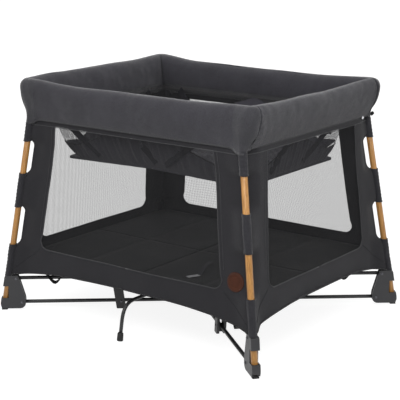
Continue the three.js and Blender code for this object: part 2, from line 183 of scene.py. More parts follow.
def woven(name, color, pitch=0.0011, heather=0.25, roughness=0.92, sheen=0.25, bump=0.35):
    """Woven cloth: threads, a heathered tone and broad soft variation."""
    made = Material(name, color, roughness)
    made.set("Sheen Weight", sheen)
    made.set("Sheen Roughness", 0.45)
    made.set("Specular IOR Level", 0.25)
    threads = made.twill(pitch)
    flecks = made.noise(620, 2.0, (1, 1, 0.35))
    clouds = made.noise(9, 3.0)
    mixed = made.mixed(flecks, 0.7, clouds, 0.3)
    made.tones(mixed, color, (0.32, 1 - heather), (0.50, 1), (0.68, 1 + heather))
    height = made.math("ADD", threads, made.math("MULTIPLY", flecks, 0.8))
    made.bump(height, bump, 0.0004)
    return made.material


def netting(name, color, pitch=0.0024, cover=0.27):
    """Fine netting: thread round small holes, which are seen through."""
    made = Material(name, color, 0.8)
    made.set("Specular IOR Level", 0.2)
    x, y, z = made.axes()
    turn = 2 * math.pi / pitch
    waves = [made.math("COSINE", made.math("MULTIPLY", line, turn)) for line in (made.math("ADD", x, y), z)]
    holes = made.math("ADD", waves[0], waves[1])
    thread = made.math("MULTIPLY", made.math("SUBTRACT", 1.35, holes), 0.20)
    clamp = made.math("MINIMUM", made.math("MAXIMUM", thread, 0.0), 1.0)
    made.join(made.math("MULTIPLY", clamp, cover / 0.27), made.shader.inputs["Alpha"])
    made.tones(made.noise(40), color, (0.3, 0.85), (0.7, 1.15))
    return made.material


def wood_grain(name):
    """Honey wood-grain coating: long streaks, fine pores and a soft lacquer."""
    made = Material(name, (0.46, 0.235, 0.076), 0.42)
    made.set("Coat Weight", 0.12)
    made.set("Coat Roughness", 0.3)
    streaks = made.noise(1.0, 4.0, (230, 230, 7), 0.65)
    pores = made.noise(1.0, 2.0, (900, 900, 40), 0.7)
    mixed = made.mixed(streaks, 0.75, pores, 0.25)
    browns = ((0.34, (0.27, 0.115, 0.025)), (0.48, (0.43, 0.200, 0.046)), (0.66, (0.57, 0.290, 0.078)))
    made.join(made.ramp(mixed, *browns), made.shader.inputs["Base Color"])
    made.bump(mixed, 0.15, 0.0003)
    return made.material


def moulded(name, color, roughness=0.5):
    """Moulded plastic with a fine spark texture and slight tone change."""
    made = Material(name, color, roughness)
    grain = made.noise(2600, 2.0)
    clouds = made.noise(35, 2.0)
    made.tones(clouds, color, (0.3, 0.88), (0.7, 1.14))
    rough = made.math("ADD", made.math("MULTIPLY", clouds, 0.16), roughness - 0.08)
    made.join(rough, made.shader.inputs["Roughness"])
    made.bump(grain, 0.25, 0.0002)
    return made.material


def coated_metal(name, color, roughness, metallic):
    """Painted or bare metal with a fine surface."""
    made = Material(name, color, roughness, metallic)
    speck = made.noise(1400, 2.0)
    made.tones(speck, color, (0.3, 0.8), (0.7, 1.25))
    made.bump(speck, 0.2, 0.00015)
    return made.material


def leather(name, color):
    """Grained leather with darker creases."""
    made = Material(name, color, 0.7)
    made.set("Specular IOR Level", 0.2)
    cells = made.node("TexVoronoi", Scale=520, Vector=made.place)
    cells.feature = "DISTANCE_TO_EDGE"
    blotch = made.noise(70, 3.0)
    mixed = made.mixed(cells.outputs["Distance"], 1.2, blotch, 0.6)
    made.tones(mixed, color, (0.2, 0.55), (0.5, 1), (0.9, 1.3))
    made.bump(cells.outputs["Distance"], 0.5, 0.0006)
    return made.material


RAIL_CLOTH = woven("rail_weave", (0.0345, 0.0335, 0.0405), heather=0.38, sheen=0.30)
# painted highlight: the cover's corner panels get a lighter copy of the rail cloth, with more sheen, for the
# light that their rounded faces catch
CORNER_HIGHLIGHT_CLOTH = woven("corner_weave_painted_highlight", (0.040, 0.0395, 0.045), heather=0.38, sheen=0.34)
SIDE_CLOTH = woven("side_weave", (0.0200, 0.0195, 0.0225), pitch=0.0009, heather=0.25, sheen=0.12)
SLEEVE_CLOTH = woven("sleeve_weave", (0.026, 0.0255, 0.030), pitch=0.0009, heather=0.35, sheen=0.2)
TRAY_CLOTH = woven("tray_weave", (0.046, 0.044, 0.054), pitch=0.0009, heather=0.2, sheen=0.18)
PAD_CLOTH = woven("pad_weave", (0.0068, 0.0068, 0.0076), pitch=0.0013, heather=0.25, sheen=0.06)
PIPING = woven("piping_cloth", (0.045, 0.045, 0.048), pitch=0.0008, heather=0.2, sheen=0.2)
# dark binding tape; also used for a painted shadow line along the short sides' corner seams on the cover
BINDING_AND_SHADOW_LINE = woven("binding_tape_and_painted_shadow", (0.012, 0.012, 0.013), pitch=0.0016, heather=0.25, sheen=0.2, bump=0.6)
STRAP_CLOTH = woven("strap_weave", (0.022, 0.021, 0.026), pitch=0.0012, heather=0.2, sheen=0.05)
WEBBING = woven("black_webbing", (0.010, 0.010, 0.011), pitch=0.0018, heather=0.3, bump=0.8)
LABEL = woven("satin_label", (0.33, 0.33, 0.34), pitch=0.0006, heather=0.08, roughness=0.5, sheen=0.1)
NETTING = netting("net", (0.035, 0.035, 0.037), cover=0.31)
TRAY_NET = netting("tray_net", (0.030, 0.030, 0.032), cover=0.34)
WOOD = wood_grain("wood_grain")
BRACKET = moulded("bracket_grey", (0.024, 0.024, 0.0265), 0.46)
DARK_PLASTIC = moulded("joint_black", (0.012, 0.012, 0.013), 0.5)
RUBBER = moulded("foot_rubber", (0.016, 0.016, 0.016), 0.8)
TUBE_BLACK = coated_metal("powder_coat", (0.013, 0.013, 0.014), 0.42, 0.0)
STEEL = coated_metal("rivet_steel", (0.10, 0.10, 0.11), 0.38, 0.9)
SNAP_STEEL = coated_metal("snap_steel", (0.62, 0.62, 0.64), 0.25, 0.95)
PATCH = leather("brown_leather", (0.060, 0.017, 0.0070))


# ---- meshes ----
def placed(name, data):
    """A new object in the scene."""
    obj = bpy.data.objects.new(name, data)
    bpy.context.scene.collection.objects.link(obj)
    return obj


def make(name, points, faces, material, smooth=True):
    mesh = bpy.data.meshes.new(name)
    mesh.from_pydata([tuple(p) for p in points], [], faces)
    mesh.update()
    obj = placed(name, mesh)
    mesh.materials.append(material)
    mesh.polygons.foreach_set("use_smooth", [smooth] * len(mesh.polygons))
    return obj


def applied(obj, kind, **settings):
    """Adds a modifier and leaves its result as the mesh."""
    modifier = obj.modifiers.new(kind.lower(), kind)
    for key, value in settings.items():
        setattr(modifier, key, value)
    shape = bpy.data.meshes.new_from_object(obj.evaluated_get(bpy.context.evaluated_depsgraph_get()))
    obj.modifiers.clear()
    old = obj.data
    obj.data = shape
    bpy.data.meshes.remove(old)
    shape.name = obj.name


def outward(obj):
    """Turns every face of a closed mesh to point out."""
    edit = bmesh.new()
    edit.from_mesh(obj.data)
    bmesh.ops.recalc_face_normals(edit, faces=edit.faces)
    edit.to_mesh(obj.data)
    edit.free()
    return obj


def grid_faces(rows, columns, wrap=False):
    """Quads between rows of points, each row columns long, wrapping round the columns if asked."""
    faces = []
    for r in range(rows - 1):
        for c in range(columns if wrap else columns - 1):
            d = (c + 1) % columns
            faces.append((r * columns + c, r * columns + d, (r + 1) * columns + d, (r + 1) * columns + c))
    return faces


def quilt_faces(rows, columns):
    """Faces of a closed cushion: a top grid, the same grid under it, and the rim between."""
    count = rows * columns
    faces = grid_faces(rows, columns)
    faces += [tuple(reversed([i + count for i in face])) for face in faces]
    rim = [r * columns for r in range(rows)] + [(rows - 1) * columns + c for c in range(1, columns)]
    rim += [r * columns + columns - 1 for r in range(rows - 2, -1, -1)] + list(range(columns - 2, 0, -1))
    faces += [(a, b, b + count, a + count) for a, b in zip(rim, rim[1:] + rim[:1])]
    return faces


def end_faces(rows, columns):
    """The two ends of a closed ring of columns points that is rows long."""
    return [tuple(range(columns)), tuple(reversed(range((rows - 1) * columns, rows * columns)))]


def area_of(points, rows, columns):
    """The area of a grid of points."""
    flat = make("flat", points, grid_faces(rows, columns), SIDE_CLOTH)
    area = sum(p.area for p in flat.data.polygons)
    bpy.data.objects.remove(flat)
    return area


def tube(name, path, radius, material, sides=24, flat=1.0, up=Vector((0, 0, 1))):
    """A closed tube along points; radius may be a number or one for each point."""
    path = [Vector(p) for p in path]
    radii = radius if hasattr(radius, "__len__") else [radius] * len(path)
    points = []
    for i, (p, r) in enumerate(zip(path, radii)):
        along = (path[min(i + 1, len(path) - 1)] - path[max(i - 1, 0)]).normalized()
        side = along.cross(up if abs(along.dot(up)) < 0.95 else Vector((1, 0, 0))).normalized()
        over = side.cross(along)
        for k in range(sides):
            turn = 2 * math.pi * k / sides
            points.append(p + side * (r * math.cos(turn)) + over * (r * flat * math.sin(turn)))
    faces = grid_faces(len(path), sides, wrap=True) + end_faces(len(path), sides)
    obj = outward(make(name, points, faces, material))
    for polygon in obj.data.polygons:
        polygon.use_smooth = len(polygon.vertices) <= 4
    return obj


def straight(name, a, b, radius, material, sides=40):
    """A straight tube from a to b with eased rims."""
    ease = 0.0012
    along = (b - a).normalized() * ease
    radii = [radius - ease, radius, radius, radius - ease]
    return tube(name, [a, a + along, b - along, b], radii, material, sides)


def join_meshes(target, *others):
    """Adds the others' meshes, with their materials, to target's, and removes them."""
    with bpy.context.temp_override(
        active_object=target, selected_editable_objects=[target, *others], selected_objects=[target, *others]
    ):
        bpy.ops.object.join()


def solid_sheet(name, points, rows, columns, material, thickness):
    """A thin closed sheet from a grid of points."""
    obj = make(name, points, grid_faces(rows, columns), material)
    applied(obj, "SOLIDIFY", thickness=thickness, offset=0.0, use_even_offset=False)
    obj.data.set_sharp_from_angle(angle=math.radians(50))
    return obj


def wobble(p, scale, amount):
    """Smooth random shift, the same each run."""
    return noise.noise(Vector(p) * scale) * amount


def smooth_step(t):
    t = min(max(t, 0.0), 1.0)
    return t * t * (3 - 2 * t)


# ---- places ----
def leg_at(corner, z):
    sx, sy = CORNERS[corner]
    return Vector((sx * (FOOT[0] - SPLAY[0] * z), sy * (FOOT[1] - SPLAY[1] * z), z))


def on_diagonal(corner, radius, z, aside=0.0):
    sx, sy = CORNERS[corner]
    x, y = sx * DIAGONAL[0], sy * DIAGONAL[1]
    return Vector((x * radius - y * aside, y * radius + x * aside, z))


def gather(obj):
    """Gives a floor or tray piece its own copy of its mesh."""
    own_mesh(obj)


def piece(obj, body, slot, *stands_for):
    """Parents a finished piece to the body it rides on and hides the CAD nodes that it stands for. slot is
    not used.
    """
    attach(obj, body)
    if stands_for:
        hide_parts(*stands_for)


# ---- hard parts ----
def refined(node, material, bevel=0.0012):
    """The CAD node's own shape with eased edges."""
    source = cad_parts[node]
    obj = placed(node + "_fine", source.data.copy())
    obj.data.materials.clear()
    obj.data.materials.append(material)
    edit = bmesh.new()
    edit.from_mesh(obj.data)
    bmesh.ops.remove_doubles(edit, verts=edit.verts, dist=2e-5)
    flat = math.radians(1.5)
    bmesh.ops.dissolve_limit(edit, angle_limit=flat, verts=edit.verts, edges=edit.edges)
    edit.to_mesh(obj.data)
    edit.free()
    applied(obj, "BEVEL", width=bevel, segments=2, limit_method="ANGLE",
            angle_limit=math.radians(38), use_clamp_overlap=True)
    obj.data.polygons.foreach_set("use_smooth", [True] * len(obj.data.polygons))
    applied(obj, "WEIGHTED_NORMAL", keep_sharp=True)
    return obj


def rivet(name, centre, axis, radius, material):
    """A domed rivet head on a washer, standing out along axis."""
    profile = [(1.35, 0.0), (1.35, 0.10), (1.15, 0.16), (1.0, 0.18), (0.92, 0.45), (0.6, 0.62), (0.25, 0.68)]
    axis = Vector(axis).normalized()
    path = [Vector(centre) + axis * (radius * h) for _, h in profile]
    return tube(name, path, [radius * r for r, _ in profile], material, 20)


def pivot_heads(name, corner, along, aside, size):
    """Rivet heads on both sides of both strut pivots, along metres in from the foot bracket."""
    heads = []
    for k, (radius, z) in enumerate((PIVOT_LOW, PIVOT_HIGH)):
        for side in (-1, 1):
            centre = on_diagonal(corner, radius - along, z, side * aside)
            heads.append(rivet(f"{name}_{k}_{side}", centre, on_diagonal(corner, 0, 0, side), size, STEEL))
    return heads


def frame_parts(corner):
    """Leg, bracket, pad, struts, knuckle and joint at one corner."""
    leg = straight(f"leg_{corner}", leg_at(corner, 0.020), leg_at(corner, 0.664), LEG_R, WOOD, 48)
    piece(leg, f"leg_{corner}", "leg_woodgrain", f"leg_tube_{corner}")
    bracket = refined(f"foot_bracket_{corner}", BRACKET, 0.0016)
    join_meshes(bracket, *pivot_heads(f"rivet_{corner}", corner, 0, 0.0142, 0.0035))
    piece(bracket, f"leg_{corner}", "bracket_plastic", f"foot_bracket_{corner}")
    pad = refined(f"foot_pad_{corner}", RUBBER, 0.0008)
    piece(pad, f"leg_{corner}", "foot_rubber", f"foot_pad_{corner}")
    joint = refined(f"corner_joint_{corner}", DARK_PLASTIC, 0.0010)
    piece(joint, f"leg_{corner}", "bracket_plastic", f"corner_joint_{corner}")
    for kind, (radius, z) in (("lower_strut", PIVOT_LOW), ("upper_strut", PIVOT_HIGH)):
        outer = on_diagonal(corner, radius + 0.007, z)
        inner = on_diagonal(corner, radius - STRUT - 0.007, z)
        strut = straight(f"{kind}_tube_{corner}", inner, outer, STRUT_R, TUBE_BLACK, 32)
        piece(strut, f"{kind}_{corner}", "frame_tube", f"{kind}_{corner}")
    knuckle = refined(f"strut_knuckle_{corner}", DARK_PLASTIC, 0.0014)
    join_meshes(knuckle, *pivot_heads(f"knuckle_rivet_{corner}", corner, KNUCKLE, 0.0157, 0.0032))
    piece(knuckle, f"strut_knuckle_{corner}", "bracket_plastic", f"strut_knuckle_{corner}")
    for kind in ("long_rail", "short_rail"):
        node = f"{kind}_{corner}"
        piece(refined(node, TUBE_BLACK, 0.0006), node, "frame_tube", node)


def centre_parts():
    """Hub, handle and the two curved legs with their caps."""
    piece(refined("hub", DARK_PLASTIC, 0.0012), "hub", "bracket_plastic", "hub")
    piece(refined("pull_handle", BRACKET, 0.0010), "pull_handle", "bracket_plastic", "pull_handle")
    for name, side in (("front", -1), ("back", 1)):
        route = [(0.069, CENTRE_Z), (0.20, CENTRE_Z), (0.300, CENTRE_Z), (0.340, CENTRE_Z)]
        for k in range(1, 13):
            t = k / 12
            corners = ((0.340, CENTRE_Z), (0.379, CENTRE_Z), (0.395, 0.097), (0.402, 0.058))
            weights = ((1 - t) ** 3, 3 * t * (1 - t) ** 2, 3 * t * t * (1 - t), t ** 3)
            route.append(tuple(sum(w * c[i] for w, c in zip(weights, corners)) for i in (0, 1)))
        route.append((0.410, 0.014))
        path = [(CENTRE_X[name], side * y, z) for y, z in route]
        leg = tube(f"centre_leg_tube_{name}", path, 0.0058, TUBE_BLACK, 32, up=Vector((1, 0, 0)))
        piece(leg, f"centre_leg_{name}", "frame_tube", f"centre_leg_{name}")
        cap_line = [(0.4122, 0.0), (0.4120, 0.0015), (0.4098, 0.018), (0.4090, 0.024), (0.4086, 0.0265)]
        cap = tube(f"centre_foot_cap_{name}", [(CENTRE_X[name], side * y, z) for y, z in cap_line],
                   [0.0088, 0.0098, 0.0096, 0.0090, 0.0068], RUBBER, 32, up=Vector((1, 0, 0)))
        piece(cap, f"centre_leg_{name}", "foot_rubber")


# ---- side panels ----
RISE_FIRST, RISE_LAST = 22, 46      # the points of a window's outline between which it rises beside the leg


class Side:
    """One half of a side, from its leg to the middle. u runs along the side, from the middle outward."""

    def __init__(self, corner, kind):
        self.corner = corner
        self.kind = kind
        self.long = kind == "long"
        self.sx, self.sy = CORNERS[corner]
        self.along = 0 if self.long else 1
        self.foot, self.splay = FOOT[self.along], SPLAY[self.along]
        self.other_foot, self.other_splay = FOOT[1 - self.along], SPLAY[1 - self.along]
        start, taper = WINDOW_HALF[self.along]
        self.low = WINDOW_LOW[self.along]
        self.window = lambda z: start - taper * (z - self.low)

    def bare(self, z, early=0.001, ease=0.007):
        """1 where the wood shows and 0 at a sleeve. The steps start early by so much and are ease long."""
        return max(smooth_step((min(z - low, high - z) + early) / ease) for low, high in BARE)

    def rim(self, z):
        """The panel's outer edge."""
        return self.foot - self.splay * z - (EDGE_NEAR + (EDGE_FAR - EDGE_NEAR) * self.bare(z))

    def inset(self, u, z):
        """How far inside the legs' plane the wall stands."""
        start, change = INSET[self.along]
        middle = start - change * (z - 0.22)
        if self.long:
            middle -= 0.0065 * smooth_step((z - 0.56) / 0.06)
        near = smooth_step((u - (self.rim(z) - 0.060)) / 0.060)
        return middle + (TUB_CORNER * self.bare(z, 0.018, 0.036) - middle) * near

    def bottom(self, u):
        middle, dip = HEM[self.along]
        return middle - dip * (u / (self.foot - 0.03)) ** 3.2

    def point(self, u, z, out=0.0):
        """A point of the wall, out from it by out, with the slack that cloth has."""
        slack = 0.003 * math.sin(math.pi * min(u / self.foot, 1)) * math.sin(math.pi * (z - 0.12) / 0.54)
        run = u * (self.sx if self.long else self.sy)
        side = 7 + 3 * (self.sy if self.long else 5 * self.sx)
        slack += wobble((run * 3, side, z * 3.0), 2.2, 0.0035)
        slack += wobble((run * 6, side + 3, z * 9), 2.6, 0.0009)
        fade = smooth_step((self.foot - self.splay * z - u) / 0.09) * smooth_step((PANEL_TOP - z) / 0.06)
        across = self.other_foot - self.other_splay * z - self.inset(u, z) - slack * fade + out
        if self.long:
            return Vector((self.sx * u, self.sy * across, z))
        return Vector((self.sx * across, self.sy * u, z))

    def window_outline(self):
        """Half of the window's edge, from the middle of its foot to the middle of its top."""
        low, top, r = self.low, WINDOW_TOP, WINDOW_CORNER
        foot = self.window(low) - r
        path = [(foot * k / 14, low) for k in range(15)]
        for k in range(1, 9):
            turn = math.pi / 2 * k / 8
            path.append((foot + r * math.sin(turn), low + r - r * math.cos(turn)))
        for k in range(1, 25):
            z = low + r + (top - low - r) * k / 24
            path.append((self.window(z), z))
        path += [(self.window(top) * (1 - k / 14), top) for k in range(1, 15)]
        return path

    def outer_outline(self, inner):
        """The panel's outer edge, one point for each point of the window's edge."""
        path = []
        for i in range(len(inner)):
            if i <= RISE_FIRST:
                t = i / RISE_FIRST
                u = self.rim(PANEL_FOOT) * (0.97 * t + 0.03 * t * t)
                path.append((u, self.bottom(u)))
            elif i <= RISE_LAST:
                z = PANEL_FOOT + (PANEL_TOP - PANEL_FOOT) * (i - RISE_FIRST) / (RISE_LAST - RISE_FIRST)
                path.append((self.rim(z), z))
            else:
                t = (i - RISE_LAST) / (len(inner) - 1 - RISE_LAST)
                path.append((self.rim(PANEL_TOP) * (1 - t), PANEL_TOP))
        return path

    def squash(self, obj):
        """Gives a piece its own copy of its mesh."""
        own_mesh(obj)


def side_cloth(side):
    """The woven border round a window half, to the leg, the hem and the rail."""
    inner = side.window_outline()
    outer = side.outer_outline(inner)
    # the rising stretch is made finer, so that the cut-outs keep their shape
    inner_fine, outer_fine = [], []
    for i in range(len(inner)):
        inner_fine.append(inner[i])
        outer_fine.append(outer[i])
        if RISE_FIRST <= i < RISE_LAST:
            for part in (0.25, 0.5, 0.75):
                z = outer[i][1] + (outer[i + 1][1] - outer[i][1]) * part
                outer_fine.append((side.rim(z), z))
                inner_fine.append(tuple(a + (b - a) * part for a, b in zip(inner[i], inner[i + 1])))
    columns = 17
    points = []
    for a, b in zip(inner_fine, outer_fine):
        for c in range(columns):
            t = c / (columns - 1)
            u, z = a[0] + (b[0] - a[0]) * t, a[1] + (b[1] - a[1]) * t
            points.append(side.point(u, z))
    area = area_of(points, len(inner_fine), columns)
    name = f"{side.kind}_side_cloth_{side.corner}"
    obj = solid_sheet(name, points, len(inner_fine), columns, SIDE_CLOTH, 0.0014)
    piece(obj, f"leg_{side.corner}", "side_fabric", f"{side.kind}_panel_{side.corner}")
    side.squash(obj)


def window_net(side):
    """The netting in a window half."""
    rows, columns = 30, 26
    points = []
    r = WINDOW_CORNER
    low, top = side.low - 0.004, WINDOW_TOP + 0.004
    for k in range(rows):
        z = low + (top - low) * (k / (rows - 1)) ** 1.15
        reach = side.window(z) + 0.004
        rise = z - low
        if rise < r:
            reach -= r - math.sqrt(max(r * r - (r - rise) ** 2, 0.0))
        for c in range(columns):
            points.append(side.point(reach * c / (columns - 1), z, -0.0012))
    area = area_of(points, rows, columns)
    obj = make(f"{side.kind}_window_net_{side.corner}", points, grid_faces(rows, columns), NETTING)
    piece(obj, f"leg_{side.corner}", "netting")
    side.window(low) + 0.004
    side.squash(obj)


def seam_line(side, name, route, radius, material, out=0.0012, flat=1.0):
    path = [side.point(u, z, out) for u, z in route]
    obj = tube(name, path, radius, material, 10, flat=flat)
    piece(obj, f"leg_{side.corner}", "side_fabric")
    side.squash(obj)


def side_seams(side):
    """Window piping, hem binding and the slanting corner seams."""
    tag = f"{side.kind}_{side.corner}"
    seam_line(side, f"window_piping_{tag}", side.window_outline()[:RISE_LAST + 1], 0.0017, PIPING)
    offset = [(u + 0.012, z) for u, z in side.window_outline()[24:RISE_LAST + 1]]
    seam_line(side, f"window_stitch_{tag}", offset, 0.0008, PIPING)
    band = [(side.rim(0.622) * k / 30, 0.6235) for k in range(31)]
    seam_line(side, f"top_seam_{tag}", band, 0.0012, PIPING)
    reach = side.rim(PANEL_FOOT)
    hem = [(reach * k / 40, side.bottom(reach * k / 40) + 0.002) for k in range(41)]
    seam_line(side, f"hem_binding_{tag}", hem, 0.0034, BINDING_AND_SHADOW_LINE, 0.0004, flat=0.45)
    start = side.window(side.low) + 0.004
    end = side.rim(0.150) - 0.006
    slant = [(start + (end - start) * k / 16, 0.224 - 0.078 * k / 16) for k in range(17)]
    seam_line(side, f"slant_seam_{tag}", slant, 0.0009, SIDE_CLOTH)


def corner_gusset(corner):
    """The strip of cloth behind a leg that joins its two sides. It is narrowest where the wood shows."""
    long_side, short_side = Side(corner, "long"), Side(corner, "short")
    rows, columns = 110, 7
    points = []
    for k in range(rows):
        z = PANEL_FOOT + (PANEL_TOP - PANEL_FOOT) * k / (rows - 1)
        a, b = long_side.point(long_side.rim(z), z), short_side.point(short_side.rim(z), z)
        axis = leg_at(corner, z)
        away = ((a + b) / 2 - axis).normalized() * (LEG_R + 0.004)
        middle = axis + away * (1 if long_side.bare(z) < 0.5 else 2)
        weight = 1 - long_side.bare(z)
        for c in range(columns):
            t = c / (columns - 1)
            bowed = a * (1 - t) ** 2 + middle * 2 * t * (1 - t) + b * t * t
            points.append((a * (1 - t) + b * t).lerp(bowed, weight))
    obj = solid_sheet(f"corner_gusset_{corner}", points, rows, columns, SIDE_CLOTH, 0.0014)
    piece(obj, f"leg_{corner}", "side_fabric")


def leg_sleeves(corner):
    """Three cloth sleeves round a leg, with hemmed ends and soft folds."""
    for index, (low, high) in enumerate(SLEEVES):
        rows, columns = 34, 48
        points = []
        for k in range(rows):
            t = k / (rows - 1)
            z = low + (high - low) * t
            centre = leg_at(corner, z)
            hem = math.exp(-((z - low) / 0.006) ** 2) + math.exp(-((high - z) / 0.006) ** 2)
            for c in range(columns):
                turn = 2 * math.pi * c / columns
                ripple = wobble((math.cos(turn) * 2, math.sin(turn) * 2 + index * 5, z * 26), 1.0, 0.0014)
                ripple += 0.0005 * math.sin(z * 520 + 3 * math.sin(turn)) * (1 - min(hem, 1))
                radius = SLEEVE_R + 0.0006 * min(hem, 1) + ripple * (1 - 0.6 * min(hem, 1))
                points.append(centre + Vector((math.cos(turn) * radius, math.sin(turn) * radius, 0)))
        obj = make(f"leg_sleeve_{index}_{corner}", points, grid_faces(rows, columns, wrap=True), SLEEVE_CLOTH)
        applied(obj, "SOLIDIFY", thickness=0.0012, offset=-1.0)
        outward(obj)
        piece(obj, f"leg_{corner}", "side_fabric")


def leather_patch():
    """A blank round leather patch with a sunk rim and stitches, sewn beside the front right leg."""
    side = Side("front_right", "long")
    centre_u, centre_z, radius = 0.405, 0.257, 0.0285
    rings = [(0.0, 0.0022), (0.30, 0.0022), (0.52, 0.0021), (0.60, 0.0014), (0.66, 0.0021), (0.78, 0.0022),
             (0.84, 0.0017), (0.90, 0.0022), (0.97, 0.0019), (1.0, 0.0010), (1.0, 0.0001)]
    spokes = 72
    points = []
    for share, height in rings:
        for k in range(spokes):
            turn = 2 * math.pi * k / spokes
            u = centre_u + radius * max(share, 0.004) * math.cos(turn)
            z = centre_z + radius * max(share, 0.004) * math.sin(turn)
            points.append(side.point(u, z, 0.0009 + height))
    faces = grid_faces(len(rings), spokes, wrap=True) + end_faces(len(rings), spokes)
    obj = outward(make("leather_patch", points, faces, PATCH))
    stitches = []
    ring = radius * 0.885
    for k in range(40):
        turn = 2 * math.pi * (k + 0.2) / 40
        path = [side.point(centre_u + ring * math.cos(a), centre_z + ring * math.sin(a), 0.0031)
                for a in (turn - 0.042, turn, turn + 0.042)]
        stitches.append(tube(f"patch_stitch_{k}", path, 0.00042, PIPING, 6))
    join_meshes(obj, *stitches)
    piece(obj, "leg_front_right", "patch_leather")
    side.squash(obj)


# ---- padded rail cover ----
# the section of the cover: how far out from the ridge on a long side, on a short side, and the height
SECTION = [
    (-0.0075, -0.0300, 0.6405),
    (-0.0010, -0.0225, 0.6520),
    (0.0045, -0.0100, 0.6770),
    (0.0075, -0.0010, 0.7050),
    (0.0060, 0.0020, 0.7300),
    (-0.0020, -0.0040, 0.7490),
    (-0.0150, -0.0150, 0.7575),
    (-0.0320, -0.0320, 0.7555),
    (-0.0470, -0.0470, 0.7420),
    (-0.0550, -0.0570, 0.7200),
    (-0.0575, -0.0620, 0.6970),
    (-0.0560, -0.0640, 0.6790),
    (-0.0500, -0.0600, 0.6700),
    (-0.0330, -0.0480, 0.6560),
    (-0.0170, -0.0370, 0.6420),
]
RIDGE = (0.4536, 0.3597)          # half sizes to the outer ridge, in x and y
CORNER_SEAM = (0.384, 0.329)      # where the corner panels start, along a long and a short side
SECTION_STEPS = 5
COVER_STRAIGHT = 0.84             # the share of a half's stations before its corner's arc
COVER_TURN = -0.026               # the section faces out where it is further out than this, and in elsewhere


def closed_curve(points, steps):
    """A smooth closed line through points (Catmull-Rom)."""
    count = len(points)
    line = []
    for i in range(count):
        a, b, c, d = (np.array(points[(i + k) % count], float) for k in (-1, 0, 1, 2))
        for s in range(steps):
            t = s / steps
            line.append(
                0.5 * (2 * b + (c - a) * t + (2 * a - 5 * b + 4 * c - d) * t * t
                       + (3 * b - a - 3 * c + d) * t ** 3)
            )
    return line


def ridge_lift(x, y):
    """The ridge isn't level: the left end stands higher, most of all toward the back."""
    left = smooth_step((-x - 0.28) / 0.14)
    back = smooth_step((y + 0.36) / 0.16)
    middle = smooth_step((0.05 - x) / 0.2) * smooth_step(y / 0.2) * (1 - left)
    return left * (0.001 + 0.0105 * back) + 0.0045 * middle


def corner_seam(z):
    """Where the corner panel's seam runs on a short side. It leans a little."""
    return CORNER_SEAM[1] + (0.755 - z) * 0.05


def seam_depth(kind, x, y, z):
    """How the corner panel, which stands a little proud, meets its neighbours: at a hard sunk seam on a short
    side, a faint one on a long one. Returns the push outward, and whether this is the corner panel."""
    if kind == "short":
        past = abs(y) - corner_seam(z)
        push = 0.0022 * smooth_step(past / 0.003) - 0.0042 * math.exp(-((past + 0.0022) / 0.0022) ** 2)
        push += 0.0013 * math.sin(z * 380 + 1.3) * math.exp(-((past + 0.014) / 0.010) ** 2)
    else:
        past = abs(x) - CORNER_SEAM[0]
        push = 0.0022 * smooth_step(past / 0.030)
    return push, past > 0


def cover_outline(kind, station, half_x, half_y, radius):
    """Place and outward angle on the cover's rounded plan, for the +X +Y quarter."""
    share = (station - COVER_STRAIGHT) / (1 - COVER_STRAIGHT)
    if kind == "long":
        if share <= 0:
            return (half_x - radius) * station / COVER_STRAIGHT, half_y, math.pi / 2
        turn = math.pi / 2 - share * math.pi / 4
    else:
        if share <= 0:
            return half_x, (half_y - radius) * station / COVER_STRAIGHT, 0.0
        turn = share * math.pi / 4
    return half_x - radius + radius * math.cos(turn), half_y - radius + radius * math.sin(turn), turn


def cover_point(corner, kind, station, spot):
    """A point of the cover. station runs from 0 at the middle of a side to 1 at the corner."""
    sx, sy = CORNERS[corner]
    out_y, out_x, z = spot
    out = out_y if kind == "long" else out_x
    outer = 1.0 if out > COVER_TURN else -1.0
    high = smooth_step((z - 0.63) / 0.11)
    radius = max(0.050 - 0.018 * high + min(out_x, out_y), 0.006)
    x, y, turn = cover_outline(kind, station, RIDGE[0] + out_x, RIDGE[1] + out_y, radius)
    normal = Vector((math.cos(turn), math.sin(turn), 0))
    near = math.hypot(RIDGE[0] - x, RIDGE[1] - y)
    real = Vector((sx * x, sy * y, z))
    hump = math.exp(-((near - 0.03) / 0.10) ** 2)
    top = smooth_step((z - 0.66) / 0.08)
    point = Vector((x, y, z + 0.0060 * hump * top + ridge_lift(real.x, real.y) * top))
    # the corner stands out, fullest just under its top
    full = 0.0085 if sx + sy == 2 else 0.0010
    if outer > 0:
        point += normal * (full * math.exp(-(near / 0.075) ** 2) * high)
    # loose folds that fan out of the corner, and soft hollows along the rails
    folds = math.sin(near * 170 + z * 70 + sx * 2 + sy) * math.exp(-near / 0.05) * 0.0010
    folds += noise.noise(Vector((real.x * 5, real.y * 5, real.z * 9))) * 0.0042
    folds += noise.noise(Vector((real.x * 15 + 5, real.y * 15, real.z * 20))) * 0.0021
    folds += noise.noise(Vector((real.x * 45, real.y * 45 + 4, real.z * 45))) * 0.0009
    low_edge = smooth_step((z - COVER_LOW) / 0.02)
    point += normal * (outer * folds * (0.35 + 0.65 * low_edge))
    point.z += noise.noise(Vector((real.x * 7 + 9, real.y * 7, 1.7))) * 0.0030 * top
    if outer > 0:
        push, _ = seam_depth(kind, x, y, z)
        point += normal * (push * low_edge)
        # the corner's lower edge is drawn in round the leg's sleeve, and its tip hangs lower
        drop = 1 - smooth_step((z - COVER_LOW) / 0.075)
        leg = leg_at("back_right", z)
        tuck = math.exp(-(math.hypot(leg.x - point.x, leg.y - point.y) / 0.036) ** 4) * drop
        aim = Vector((leg.x, leg.y, 0)) + normal * 0.0150
        point.x += (aim.x - point.x) * tuck
        point.y += (aim.y - point.y) * tuck
        tip = math.exp(-(math.hypot(leg.x - point.x, leg.y - point.y) / 0.029) ** 4)
        point.z -= 0.013 * tip * (1 - smooth_step((z - COVER_LOW) / 0.03))
    return Vector((sx * point.x, sy * point.y, point.z))


